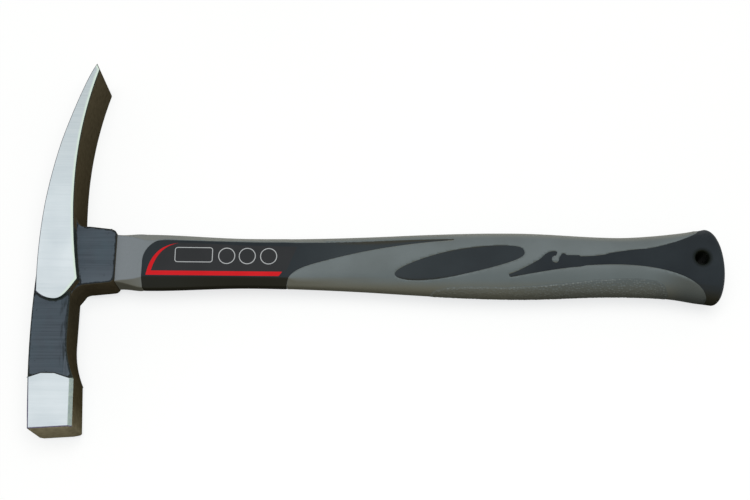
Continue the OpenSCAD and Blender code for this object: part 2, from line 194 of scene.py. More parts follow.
def half_t(x):
    """Half the section's thickness at x."""
    if x < FLAT_AT:
        return NECK_T / 2
    if x < CREST_AT:
        return mix(NECK_T, GRIP_T, ease(x, FLAT_AT, CREST_AT)) / 2
    if x < SLIM_AT:
        return mix(GRIP_T, SLIM_T, ease(x, CREST_AT, SLIM_AT)) / 2
    return mix(SLIM_T, BUTT_T, ease(x, SLIM_AT, BUTT_AT)) / 2


def lower_share(x):
    """Height of the section's lower half as a share of the upper: the butt's underside flares later."""
    t = clamp((x - SLIM_AT) / (BUTT_AT - SLIM_AT))
    return mix(SLIM_H, BUTT_H, t ** 3.2) / mix(SLIM_H, BUTT_H, t ** 1.6)


QUARTER = 24                           # ring points in a quarter of the section
EDGE_PTS, CORNER_PTS, SIDE_PTS = 4, 4, 6
CORNER_R, SOFT_R = 0.5, 6.0            # rounding of the corners on the neck, and past it
ROOT_CUT = 0.5                         # size of the corner facets at the mouth
OVAL_AT = FLAT_AT + 55                 # where the section has become an oval
OVAL_POWER = 2 / 2.4                   # squarish oval of the grip


def rounded(before, at, after, radius, steps):
    """Points round a corner, from the side that comes before it to the side after it."""
    a = Vector(before) - Vector(at)
    b = Vector(after) - Vector(at)
    reach = min(radius, 0.45 * a.length, 0.45 * b.length)
    start = Vector(at) + a.normalized() * reach
    end = Vector(at) + b.normalized() * reach
    out = []
    for i in range(steps):
        t = i / (steps - 1)
        out.append((1 - t) ** 2 * start + 2 * t * (1 - t) * Vector(at) + t * t * end)
    return out


def octagon_quarter(a, b, edge, facet, radius):
    """A quarter of the neck's section, its two corners softly rounded."""
    p = [(a, 0.0), (a, edge), (facet, b), (0.0, b)]
    low = rounded(p[0], p[1], p[2], radius, CORNER_PTS)
    high = rounded(p[1], p[2], p[3], radius, CORNER_PTS)
    start = [Vector(p[0]).lerp(low[0], i / EDGE_PTS) for i in range(EDGE_PTS)]
    side = [low[-1].lerp(high[0], (i + 1) / (SIDE_PTS + 1)) for i in range(SIDE_PTS)]
    rest = QUARTER - EDGE_PTS - 2 * CORNER_PTS - SIDE_PTS
    flat = [high[-1].lerp(Vector(p[3]), (i + 1) / (rest + 1)) for i in range(rest + 1)]
    return start + low + side + high + flat


def section_quarter(x, inset):
    """Points of a quarter of the section at x, from the edge to the flat."""
    a, b = half_h(x) - inset, half_t(x) - inset
    grow = clamp(x / NECK_AT)
    edge = mix(half_t(x) - ROOT_CUT, EDGE_T, grow) * b / half_t(x)
    facet = mix(half_h(x) - ROOT_CUT, FACET_H, grow) * a / half_h(x)
    radius = mix(CORNER_R, SOFT_R, ease(x, FLAT_AT - 8, FLAT_AT + 8))
    angular = octagon_quarter(a, b, edge, facet, radius)
    share = ease(x, FLAT_AT, OVAL_AT)
    out = []
    for i, point in enumerate(angular):
        w = pi / 2 * i / QUARTER
        oval = Vector((a * max(cos(w), 0) ** OVAL_POWER, b * max(sin(w), 0) ** OVAL_POWER))
        out.append(point.lerp(oval, share))
    return out


def section(x, inset=0.0):
    """All points of the section at x: (height, thickness) pairs round the ring."""
    quarter = section_quarter(x, inset)
    top = [(p[0], p[1]) for p in quarter[:QUARTER]]
    crest = [(p[0], p[1]) for p in quarter[1:]]
    low = lower_share(x)
    ring = top + [(-h * low, t) for h, t in reversed(crest)]
    ring += [(-h * low, -t) for h, t in top] + [(h, -t) for h, t in reversed(crest)]
    rise = BUTT_RISE * ease(x, BUTT_AT - 9, BUTT_AT)
    return [(h + rise, t) for h, t in ring]


def end_line(y):
    """Where the butt's curved end lies at height y."""
    return HANDLE - END_R + sqrt(END_R ** 2 - (y - END_Y) ** 2)


FLARE_STEP, HANDLE_STEP = 0.9, 1.35    # distance between rings in the flare at the mouth, and past it


def rings():
    """Every ring of the form: the handle's stations, then the rolled rim of the butt."""
    x, stations = 0.0, []
    while x < BUTT_AT - 3:
        stations.append(x)
        x += FLARE_STEP if x < NECK_AT + 1 else HANDLE_STEP
    out = [[(x, h, t) for h, t in section(x)] for x in stations]
    for turn in range(0, 90, 10):
        w = radians(turn)
        out.append([(end_line(h) - RIM_R * (1 - sin(w)), h, t)
                    for h, t in section(BUTT_AT, RIM_R * (1 - cos(w)))])
    for share in (0.85, 0.65, 0.45, 0.25, 0.1):
        out.append([(end_line(h * share), h * share, t * share)
                    for h, t in section(BUTT_AT, RIM_R)])
    return out


def handle_form():
    """A ring pulled along the handle, each new ring set to the section there, and closed at both ends."""
    loft = rings()
    count = len(loft[0])
    bpy.ops.mesh.primitive_circle_add(vertices=count, radius=0.01, fill_type="NGON")
    piece = bpy.context.object
    piece.name = piece.data.name = "handle_form"
    edit_all(piece)
    for _ in loft[1:]:
        bpy.ops.mesh.extrude_region_move(TRANSFORM_OT_translate={"value": (0, 0, MM)})
    leave()
    for vertex in piece.data.vertices:
        ring = loft[round(vertex.co.z / MM)]
        turn = atan2(vertex.co.y, vertex.co.x) / (2 * pi)
        vertex.co = on_handle(*ring[round(turn * count) % count])
    edit(piece)
    face_outwards()
    return piece


# -------------------------------- outlines on the handle, in mm
FAR = 40.0                             # reach of a cutting outline past the handle
NECK_LEFT, NECK_RIGHT, NECK_TIP = NECK_AT - 1, FLAT_AT - 6.4, CREST_AT - 30


def on_tongue(t, s):
    """A point by its share of the tongue's length, and of the neck's half height."""
    return (mix(NECK_RIGHT, NECK_TIP, t), s * NECK_H / 2)


def on_neck(t, s):
    """A point by its share of the sleeve's length before the tongue, and of the neck's half height."""
    return (mix(NECK_LEFT, NECK_RIGHT, t), s * NECK_H / 2)


def neck_outline():
    waist, shoulder, crook = on_neck(0.793, 0.625), on_neck(0.164, 0.732), on_tongue(0.242, -0.015)
    return ([(NECK_LEFT, -FAR), (NECK_RIGHT, -FAR)]
            + bezier([on_tongue(0, -1.03), on_tongue(0.019, -0.441), on_tongue(0.068, -0.294), crook], 24)
            + bezier([crook, on_tongue(0.491, 0.397), on_tongue(0.749, 0.651), on_tongue(0.99, 0.755)], 40)
            + bezier([on_tongue(0.99, 0.755), on_tongue(1.003, 0.76), on_tongue(1.003, 0.805),
                      on_tongue(0.99, 0.806)], 6)
            + bezier([on_tongue(0.99, 0.806), on_tongue(0.528, 0.794), on_tongue(0.28, 0.632), waist], 40)
            + bezier([waist, on_neck(0.571, 0.643), on_neck(0.357, 0.688), shoulder], 20)
            + bezier([shoulder, on_neck(0.071, 0.706), on_neck(0.002, 0.338), on_neck(0, -0.147)], 20))


def inlay_outline():
    """Blunt towards the butt, more pointed towards the head."""
    length, width, slope = 63.0, 12.0, radians(11)
    middle = (CREST_AT - 27.5, -1.9)
    out = []
    for turn in range(0, 360, 3):
        u, v = cos(radians(turn)), sin(radians(turn))
        bulge = (abs(v) ** 0.72 * (1 - 0.05 * u)) if u > 0 else (abs(v) * (1 - 0.16 * u))
        if v > 0:
            bulge *= max(0.8, 1 + 0.24 * min(u, 0))
        else:
            bulge *= 1.1 - (0.1 if u > 0 else 0.2) * u * u
        x, y = length / 2 * u, width / 2 * (bulge if v > 0 else -bulge) + 1 - (1 if u > 0 else 0.3) * u * u
        out.append((middle[0] + x * cos(slope) - y * sin(slope),
                    middle[1] + x * sin(slope) + y * cos(slope)))
    return out


HOOK, NOTCH_R = 81.4, 1.75             # the round notch: back from the handle's end, and its radius


def butt_outline():
    """The butt's edge and its tongue, which ends in a hook round a notch."""
    notch = [(-HOOK + 0.2 + NOTCH_R * cos(radians(w)), 0.4 + NOTCH_R * sin(radians(w)))
             for w in range(84, 372, 12)]
    drawn = (bezier([(-HOOK - 21.8, -7.1), (-HOOK - 18.5, -6.2), (-HOOK - 12.6, -3), (-HOOK - 7.5, 0.1)], 14)
             + bezier([(-HOOK - 7.5, 0.1), (-HOOK - 5.2, 1.9), (-HOOK - 3.8, 4.5), (-HOOK - 0.2, 4.5)], 12)
             + bezier([(-HOOK - 0.2, 4.5), (-HOOK + 1.0, 4.5), (-HOOK + 1.5, 4.1), (-HOOK + 1.0, 3.4)], 6)
             + bezier([(-HOOK + 1.0, 3.4), (-HOOK + 0.7, 2.9), (-HOOK + 0.8, 2.5), notch[0]], 4) + notch
             + bezier([(-HOOK + 2.0, 1.0), (-HOOK + 2.6, 1.9), (-HOOK + 3.1, 3.5), (-HOOK + 4.2, 3.5)], 8)
             + bezier([(-HOOK + 4.2, 3.5), (-HOOK + 4.9, 3.5), (-HOOK + 5.1, 2.6), (-HOOK + 6.2, 2.6)], 6)
             + [(-HOOK + 6.2, 2.6), (-HOOK + 11.7, 2.7), (-HOOK + 12.2, 2.1)]
             + bezier([(-HOOK + 12.6, 2.1), (-HOOK + 18, 2.3), (-HOOK + 22, 2.9), (-HOOK + 25.6, 3.5)], 8)
             + bezier([(-HOOK + 26.4, 4.1), (-HOOK + 33, 5.4), (-HOOK + 38, 6.2), (-HOOK + 44, 6.6)], 8)
             + bezier([(-HOOK + 44, 6.6), (-27, 8.2), (-19, 11.8), (-13, 15)], 14)
             + bezier([(-13, 15), (-11.6, 15.8), (-10.4, 17.6), (-10, 20)], 8)
             + [(-10, FAR), (FAR, FAR), (FAR, -FAR), (-8.2, -FAR)]
             + bezier([(-8.2, -18.5), (-9.5, -10), (-26, -1.6), (-52, -1.6)], 36)
             + bezier([(-52, -1.6), (-58, -1.6), (-63, -2.1), (-68.2, -2.5)], 8)
             + bezier([(-69, -3), (-80, -4), (-92, -6.8), (-HOOK - 20.9, -8.5)], 16)
             + bezier([(-HOOK - 20.9, -8.5), (-HOOK - 22.1, -8.7), (-HOOK - 22.5, -7.4),
                       (-HOOK - 21.8, -7.1)], 6))
    return [(HANDLE + x, y) for x, y in drawn]


LABEL_LEFT, LABEL_RIGHT = NECK_LEFT + 2.2, FLAT_AT - 0.8
LABEL_TOP, LABEL_LOW = FACET_H - 1.2, 0.5 - FACET_H


def label_outline():
    return ([(LABEL_LEFT, LABEL_LOW), (LABEL_RIGHT - 9, LABEL_LOW), (LABEL_RIGHT - 7.6, LABEL_LOW + 2.5),
             (LABEL_RIGHT - 5, LABEL_LOW + 2.7), (LABEL_RIGHT, LABEL_TOP - 1.2),
             (LABEL_RIGHT - 25, LABEL_TOP - 0.9), (LABEL_LEFT + 24, LABEL_TOP)]
            + bezier([(LABEL_LEFT + 16, LABEL_TOP + 0.2), (LABEL_LEFT + 6, LABEL_TOP),
                      (LABEL_LEFT + 0.6, 1), (LABEL_LEFT, LABEL_LOW)], 24))


def stripe_outline():
    """The red stripe: a bar along the facet's lower edge that turns up and thins out."""
    tip = (29.8, 7.7)
    return ([(14.7, LABEL_LOW), (78.6, LABEL_LOW), (80.2, LABEL_LOW + 2.2)]
            + bezier([(17.1, LABEL_LOW + 2.2), (18.4, -1.2), (21.0, 6.2), tip], 24)
            + bezier([tip, (20.2, 6.6), (16.2, 0.6), (14.7, LABEL_LOW)], 24))


# -------------------------------- the handle's pieces
NECK_BED, INLAY_BED, TONGUE_BED = 6.5, 7.3, 8.5      # half thickness of the jacket under each
NECK_BED_LOW = 2 - (WAIST_H / 2 - 1.7)               # the lower end of the neck's bed
TONGUE_BED_END = HANDLE - 30           # where the butt's bed ends and only the jacket's tang goes on
TANG_END, TANG_H, TANG_T = HANDLE - 18.7, 20.4, 14.0
LABEL_T = 0.4                          # depth of the label's bed
HANG = (HANDLE - 10.9, 1.9)            # the hang hole
HANG_R = 3.3


def neck_bar():
    """What the jacket keeps of itself under the neck's soft piece."""
    return block("neck_bar", (-5, NECK_BED_LOW, -NECK_BED), (HANDLE, FAR, NECK_BED))


def butt_bars():
    """What the jacket keeps of itself under the butt's soft piece: a bar and a tang."""
    bar = block("butt_bar", (0, -FAR, -TONGUE_BED), (TONGUE_BED_END, FAR, TONGUE_BED))
    tang = block("tang", (TONGUE_BED_END - 1, -TANG_H / 2, -TANG_T / 2), (TANG_END, TANG_H / 2, TANG_T / 2))
    cut(bar, tang, "UNION")
    return bar


def turned(name, centre, profile, points=48):
    """A round solid about a point, from its profile: (height, radius) pairs in mm, from the bottom up."""
    (z, r), rest = profile[0], profile[1:]
    bpy.ops.mesh.primitive_circle_add(vertices=points, radius=r * MM, fill_type="NGON",
                                      location=centre + Vector((0, 0, z * MM)))
    piece = bpy.context.object
    piece.name = piece.data.name = name
    bpy.ops.object.transform_apply(location=True, rotation=True, scale=True)
    edit_all(piece)
    for next_z, next_r in rest:
        bpy.ops.mesh.extrude_region_move(TRANSFORM_OT_translate={"value": (0, 0, (next_z - z) * MM)})
        bpy.ops.transform.resize(value=(next_r / r, next_r / r, 1), center_override=centre)
        z, r = next_z, next_r
    face_outwards()
    return piece


def hang_hole():
    """A drill whose two mouths flare in a soft round."""
    face, lip = half_t(HANG[0]), 1.3
    mouth = [(face + 2, HANG_R + lip + 2.4), (face, HANG_R + lip)]
    mouth += [(face - lip * (1 - cos(radians(w))), HANG_R + lip * (1 - sin(radians(w))))
              for w in (15, 30, 45, 60, 75, 90)]
    return turned("hang_drill", on_handle(*HANG), [(-z, r) for z, r in mouth] + mouth[::-1])


def merged(piece):
    edit_all(piece)
    bpy.ops.mesh.remove_doubles(threshold=1e-6)
    leave()
    return piece


def skin_of(piece):
    """The piece's surface, to look up what lies on it."""
    mesh = piece.data
    return BVHTree.FromPolygons([v.co for v in mesh.vertices], [p.vertices for p in mesh.polygons])


def dots(mesh, edge, apart):
    """Points along an edge, about this far apart."""
    start, end = (mesh.vertices[i].co for i in edge)
    steps = max(1, int((end - start).length / apart))
    return [start.lerp(end, i / steps) for i in range(steps + 1)]


def nearest_of(points):
    """A tree that finds the nearest of these points."""
    tree = KDTree(len(points))
    for i, point in enumerate(points):
        tree.insert(point, i)
    tree.balance()
    return tree


def faces_by_edge(mesh):
    """The faces beside each edge."""
    beside = {}
    for face in mesh.polygons:
        for key in face.edge_keys:
            beside.setdefault(key, []).append(face)
    return beside


ON_SKIN = 2e-5                         # what lies this near the handle's form is its skin, in metres


def seam_points(piece, skin):
    """The lines where a cut leaves the handle's skin, as a tree of points."""
    mesh = piece.data
    outer = set()
    for face in mesh.polygons:
        _, normal, _, gap = skin.find_nearest(face.center)
        if gap < ON_SKIN and face.normal.dot(normal) > 0.7:
            outer.add(face.index)
    found = []
    for edge, faces in faces_by_edge(mesh).items():
        if len(faces) == 2 and (faces[0].index in outer) != (faces[1].index in outer):
            found += dots(mesh, edge, 0.25 * MM)
    return nearest_of(found)


GROOVE, GROOVE_REACH = 0.2 * MM, 0.7 * MM            # depth of a seam's groove, and its half width


def settle(piece, seams, skin):
    """Rounds a piece down into the seams round it."""
    for vertex in piece.data.vertices:
        _, normal, _, gap = skin.find_nearest(vertex.co)
        if gap > ON_SKIN / 2:
            continue
        reach = seams.find(vertex.co)[2] / GROOVE_REACH
        if reach < 1:
            vertex.co -= normal * GROOVE * (1 - reach) ** 2


# Points of the pebbled grip's upper edge
GRIP_LINE = [(150, -15.2), (154, -13.7), (160, -12.8), (172, -12.5), (187, -12.8), (200, -12.2),
             (215, -10.8), (230, -8.9), (242, -8.2), (252, -8.2), (259, -9), (263, -10.8), (266, -15)]
PEBBLES = 850                          # pebbles side by side in a metre


def grip_line(x):
    """Height of the pebbled grip's upper edge at x, far under the handle where there is no grip."""
    for (x0, y0), (x1, y1) in zip(GRIP_LINE, GRIP_LINE[1:]):
        if x0 <= x < x1:
            return mix(y0, y1, (x - x0) / (x1 - x0))
    return -FAR


def pebble_grip(piece, skin):
    """Raises a field of small pebbles along the grip's lower edge, on both sides and underneath."""
    edit(piece, "FACE")                # to start with nothing selected
    leave()
    for face in piece.data.polygons:
        x, y, _ = (face.center - on_handle(0, 0)) / MM
        gap = skin.find_nearest(face.center)[3]
        face.select = y < grip_line(x) + 1.5 and gap < ON_SKIN and len(face.vertices) < 5
    bpy.ops.object.mode_set(mode="EDIT")
    bpy.ops.mesh.subdivide(number_cuts=3)
    leave()
    pebbles = piece.data.attributes.new("pebble", "FLOAT", "POINT")
    lip = piece.data.attributes.new("painted_lip_highlight", "FLOAT", "POINT")
    for vertex in piece.data.vertices:
        x, y, _ = (vertex.co - on_handle(0, 0)) / MM
        under = grip_line(x) - y
        inside = clamp(under / 0.5)
        if inside <= 0:
            continue
        _, normal, _, gap = skin.find_nearest(vertex.co)
        if gap > ON_SKIN:
            continue
        gaps, _ = noise_of.voronoi(vertex.co * PEBBLES)
        stone = clamp((gaps[1] - gaps[0]) * 2.2)
        pebbles.data[vertex.index].value = inside * (0.2 + 0.8 * stone)
        # how much painted highlight each point takes along the grip's upper edge
        by_edge = clamp(1 - (under - 0.4) / 0.9) * clamp((258 - x) / 20)
        lip.data[vertex.index].value = inside * (0.4 + 0.6 * stone) * by_edge
        vertex.co += normal * inside * (0.05 + 0.18 * stone) * MM


def smooth(piece, degrees=35):
    pick(piece)
    bpy.ops.object.shade_smooth_by_angle(angle=radians(degrees))


def mirror(piece):
    """Moves a piece to the far side, mirrored through the middle of the thickness."""
    edit_all(piece)
    bpy.ops.transform.mirror(orient_type="GLOBAL", constraint_axis=(False, False, True),
                             center_override=(0, 0, MID_Z))
    face_outwards()


def cut_both_sides(piece, tool):
    """Cuts a piece with a tool, and with its mirror on the far side."""
    other = twin(tool, tool.name + "_below")
    mirror(other)
    cut(piece, tool)
    cut(piece, other)


form = handle_form()
skin = skin_of(form)
neck_tool = prism("neck_tool", neck_outline(), -FAR, FAR)
butt_tool = prism("butt_tool", butt_outline(), -FAR, FAR)

# The jacket: the form with a bed cut for each soft piece, and the core's hole
jacket = twin(form, "moulded_jacket")
for tool, bar in ((neck_tool, neck_bar()), (butt_tool, butt_bars())):
    pocket = twin(tool, "pocket")
    cut(pocket, bar)
    cut(jacket, pocket)
cut_both_sides(jacket, prism("inlay_bed", inlay_outline(), INLAY_BED, FAR))
cut(jacket, merged(twin(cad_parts["fibreglass_core"], "core_tool")))
seams = seam_points(jacket, skin)

# The soft pieces
neck_sleeve = twin(form, "neck_sleeve")
cut(neck_sleeve, twin(neck_tool, "neck_wrap"), "INTERSECT")
cut(neck_sleeve, neck_bar())
cut_both_sides(neck_sleeve, prism("label_bed", label_outline(), FLAT_Z - LABEL_T, FLAT_Z + 5))
butt_cap = twin(form, "butt_cap")
cut(butt_cap, twin(butt_tool, "butt_wrap"), "INTERSECT")
cut(butt_cap, butt_bars())
cut(butt_cap, hang_hole())
pads = []
for name, low, high in (("upper_thumb_pad", INLAY_BED, FAR), ("lower_thumb_pad", -FAR, -INLAY_BED)):
    pad = twin(form, name)
    cut(pad, prism("pad_tool", inlay_outline(), low, high), "INTERSECT")
    pads.append(pad)
for piece in [jacket, neck_sleeve, butt_cap] + pads:
    settle(piece, seams, skin)
pebble_grip(jacket, skin)
for piece in [jacket, neck_sleeve, butt_cap] + pads:
    smooth(piece)
for tool in (form, neck_tool, butt_tool):
    bpy.data.objects.remove(tool)

# -------------------------------- finishes
ARCH_Y = -57.8                         # the poll is ground bare below this arch


def linear(code):
    """A colour written as #rrggbb, as Blender's linear values."""
    def one(v):
        v /= 255
        return v / 12.92 if v <= 0.04045 else ((v + 0.055) / 1.055) ** 2.4
    return tuple(one(int(code[i:i + 2], 16)) for i in (1, 3, 5)) + (1.0,)


def feed(tree, socket, value):
    """Links a socket to another's value, or sets it to a plain one or to a colour as #rrggbb."""
    if isinstance(value, bpy.types.NodeSocket):
        tree.links.new(value, socket)
    else:
        socket.default_value = linear(value) if isinstance(value, str) else value


def node(tree, kind, settings=None, at=None, **inputs):
    """A new shader node with its settings, and its inputs by place or by name."""
    made = tree.nodes.new("ShaderNode" + kind)
    for key, value in (settings or {}).items():
        setattr(made, key, value)
    for key, value in inputs.items():
        feed(tree, made.inputs[key.replace("_", " ")], value)
    for index, value in (at or {}).items():
        feed(tree, made.inputs[index], value)
    return made


def finish(name, colour, roughness, metallic=0.0, **sockets):
    """A new material: its tree and its shader, with the plain values set on the shader."""
    material = bpy.data.materials.new(name)
    material.use_nodes = True
    tree = material.node_tree
    shader = tree.nodes["Principled BSDF"]
    shader.inputs["Base Color"].default_value = linear(colour)
    shader.inputs["Roughness"].default_value = roughness
    shader.inputs["Metallic"].default_value = metallic
    for key, value in sockets.items():
        shader.inputs[key.replace("_", " ")].default_value = value
    return material, tree, shader


def noise(tree, scale, detail, stretch=(1, 1, 1)):
    spot = node(tree, "TexCoord").outputs["Object"]
    spot = node(tree, "Mapping", Vector=spot, Scale=stretch).outputs["Vector"]
    return node(tree, "TexNoise", Vector=spot, Scale=scale, Detail=detail).outputs["Fac"]


def ramp(tree, value, *stops):
    """Runs through stops as a value grows, each (where, a colour or a grey level)."""
    made = node(tree, "ValToRGB", Fac=value)
    line = made.color_ramp
    while len(line.elements) < len(stops):
        line.elements.new(0.5)
    for element, (where, colour) in zip(line.elements, stops):
        element.position = where
        element.color = linear(colour) if isinstance(colour, str) else (colour, colour, colour, 1)
    return made.outputs["Color"]


def blend(tree, share, a, b):
    """Mixes two colours: a where the share is 0, b where it is 1."""
    return node(tree, "Mix", {"data_type": "RGBA"}, at={0: share, 6: a, 7: b}).outputs[2]


def coat(tree, shader, tone, height, depth, strength):
    """Gives a shader its colour and its fine relief."""
    feed(tree, shader.inputs["Base Color"], tone)
    relief = node(tree, "Bump", Height=height, Distance=depth, Strength=strength)
    feed(tree, shader.inputs["Normal"], relief.outputs["Normal"])


def math(tree, operation, a, b=None, c=None):
    at = {i: v for i, v in enumerate((a, b, c)) if v is not None}
    return node(tree, "Math", {"operation": operation}, at=at).outputs[0]


def times(tree, a, b):
    return math(tree, "MULTIPLY", a, b)


def rest_of(tree, share):
    """What a share lacks to 1."""
    return math(tree, "SUBTRACT", 1.0, share)


def attribute(tree, name):
    return node(tree, "Attribute", {"attribute_name": name}).outputs["Fac"]


def spread(tree, value, start, end, kind="LINEAR"):
    """0 to 1 as a value goes from start to end."""
    return node(tree, "MapRange", {"interpolation_type": kind}, at={0: value, 1: start, 2: end}).outputs[0]


def below(tree, value, limit, soft):
    """1 where a value is under its limit, 0 above it, with a soft step between."""
    return spread(tree, value, limit + soft, limit - soft)


def wobbly(tree, value, size, scale):
    """A value with an uneven edge."""
    return math(tree, "MULTIPLY_ADD", math(tree, "SUBTRACT", noise(tree, scale, 3), 0.5), size, value)


def coordinate(tree, axis):
    return node(tree, "SeparateXYZ", Vector=node(tree, "TexCoord").outputs["Object"]).outputs[axis]


def drop_share(tree):
    """0 at the blade's tip, 1 at the striking face."""
    return spread(tree, coordinate(tree, "Y"), head_high.y, head_low.y)


def facing(tree, start, end):
    """0 to 1 as a surface's upward slope on the handle goes from start to end."""
    slope = node(tree, "SeparateXYZ", Vector=node(tree, "TexCoord").outputs["Normal"]).outputs["Y"]
    return spread(tree, slope, start, end, "SMOOTHSTEP")


def along(tree, start, end, kind="SMOOTHSTEP"):
    """0 to 1 as the distance from the socket's mouth goes from start to end, in mm."""
    return spread(tree, coordinate(tree, "X"), MOUTH_X + start * MM, MOUTH_X + end * MM, kind)


def underside(tree):
    """0 on the handle's sides and top, 1 where it faces down its lower edge: the mask of the painted shade
    below, and of its duller shine.
    """
    down = facing(tree, -0.38, -0.96)
    low = spread(tree, coordinate(tree, "Y"), AXIS_Y - 14 * MM, AXIS_Y - 17 * MM)
    return math(tree, "MAXIMUM", down, low)


def make_ground_steel():
    """Steel ground bright: fine lines, soft clouds, a painted reflection that is darker at the blade's tip
    and brighter lower down, and a painted highlight along the blade's side to the handle.
    """
    material, tree, shader = finish("ground_steel", "#c6d0d5", 0.34, 1.0)
    lines = noise(tree, 1.0, 3, (40, 2600, 40))
    band = noise(tree, 1.0, 3, (12, 420, 12))
    cloud = noise(tree, 55, 2)
    # painted reflection: darker at the blade's tip, brighter down the cheeks and the poll
    tone = ramp(tree, drop_share(tree), (0.0, "#adb7b8"), (0.18, "#bfc9cc"), (0.4, "#d5dfe3"),
                (0.53, "#dce5e9"), (0.62, "#d4dde1"), (0.9, "#d9e2e6"))
    tone = blend(tree, ramp(tree, cloud, (0.35, 0.0), (0.75, 0.5)), tone, "#b6c3ca")
    tone = blend(tree, ramp(tree, lines, (0.3, 0.0), (0.75, 0.3)), tone, "#e8eff2")
    tone = blend(tree, ramp(tree, band, (0.35, 0.0), (0.75, 0.22)), tone, "#b9c6cb")
    # painted highlight: a pale greenish rim along the blade's side to the handle
    rim = below(tree, wobbly(tree, attribute(tree, "right_gap"), 0.8, 200), 0.9, 0.5)
    blade = below(tree, drop_share(tree), 0.66, 0.03)
    tone = blend(tree, times(tree, rim, blade), tone, "#d6e6d9")
    coat(tree, shader, tone, lines, 0.02 * MM, 0.5)
    return material


def make_slate_paint():
    """Slate paint over the forging: faint ground lines under it, painted shade along its uneven edges, a
    dark line where it ends above the poll's arch, dark streaks near the body's right edge, and a painted
    highlight low on the socket.
    """
    material, tree, shader = finish("slate_paint", "#454e56", 0.5, Specular_IOR_Level=0.2)
    lines = noise(tree, 1.0, 3, (25, 1100, 25))
    cloud = noise(tree, 130, 3)
    tone = ramp(tree, lines, (0.3, "#3f4850"), (0.7, "#4c555e"))
    tone = blend(tree, ramp(tree, cloud, (0.4, 0.0), (0.8, 0.5)), tone, "#4a5a63")
    streaks = ramp(tree, noise(tree, 1.0, 4, (900, 130, 130)), (0.42, 0.0), (0.6, 0.75))
    beside = below(tree, wobbly(tree, attribute(tree, "right_gap"), 5.0, 150), 2.6, 1.0)
    body = below(tree, rest_of(tree, drop_share(tree)), 0.35, 0.02)
    beside = times(tree, beside, body)
    tone = blend(tree, times(tree, streaks, beside), tone, "#1d2427")
    # painted highlight: paler towards the socket's lower edge
    low = spread(tree, coordinate(tree, "Y"), AXIS_Y - 4 * MM, AXIS_Y - 10 * MM)
    socket = math(tree, "GREATER_THAN", coordinate(tree, "X"), BACK_X + 16 * MM)
    tone = blend(tree, times(tree, low, times(tree, socket, 0.45)), tone, "#5c656e")
    # painted shade: dark along the paint's edges, wider on the socket's outer part
    outer = math(tree, "GREATER_THAN", coordinate(tree, "X"), BACK_X + 20 * MM)
    gap = math(tree, "MULTIPLY_ADD", outer, -0.4, attribute(tree, "edge_gap"))
    edge = below(tree, wobbly(tree, gap, 1.1, 700), 0.3, 0.2)
    tone = blend(tree, edge, tone, "#1a1f21")
    by_arch = below(tree, coordinate(tree, "Y"), on_head(0, ARCH_Y + 3).y, 0.5 * MM)
    line = below(tree, attribute(tree, "edge_gap"), 0.5, 0.2)
    tone = blend(tree, times(tree, line, by_arch), tone, "#1a1f1b")
    pits = ramp(tree, noise(tree, 420, 2), (0.68, 0.0), (0.74, 0.8))
    near = below(tree, attribute(tree, "edge_gap"), 3.5, 1.0)
    tone = blend(tree, times(tree, pits, near), tone, "#20272b")
    coat(tree, shader, tone, lines, 0.12 * MM, 0.5)
    return material


def make_scale_and_painted_shade():
    """Brown forging scale whose dark tones are painted shade on the head's narrow faces: darkest about the
    socket, with painted light paling it at the striking face.
    """
    material, tree, shader = finish("scale_and_painted_shade", "#453b2b", 0.65, Specular_IOR_Level=0.0)
    # painted shade and light: darkest about the socket, painted paler towards the striking face
    tone = ramp(tree, drop_share(tree), (0.0, "#675f4b"), (0.4, "#5d5541"), (0.6, "#504938"),
                (0.7, "#4f4a3a"), (0.84, "#554d38"), (0.92, "#5f573f"), (0.97, "#867e63"), (1.0, "#a9a184"))
    grain = noise(tree, 420, 5)
    tone = blend(tree, ramp(tree, grain, (0.35, 0.0), (0.75, 0.35)), tone, "#2b241a")
    coat(tree, shader, tone, grain, 0.1 * MM, 0.4)
    return material


def make_painted_edge_light(name, colour, other, roughness, metallic):
    """Painted light for the head's rounded edges, in two near tones; it makes their painted shade, sheen and
    highlight.
    """
    material, tree, shader = finish(name, colour, roughness, metallic, Specular_IOR_Level=0.2)
    grain = noise(tree, 700, 4)
    coat(tree, shader, ramp(tree, grain, (0.3, colour), (0.7, other)), grain, 0.06 * MM, 0.4)
    return material


def hang_shade(tree):
    """1 in the hang hole, fading out round its mouths."""
    hole = on_handle(*HANG)
    across = math(tree, "SUBTRACT", coordinate(tree, "X"), hole.x)
    up = math(tree, "SUBTRACT", coordinate(tree, "Y"), hole.y)
    reach = math(tree, "SQRT", math(tree, "MULTIPLY_ADD", up, up, times(tree, across, across)))
    return below(tree, reach, 4.2 * MM, 1.2 * MM)


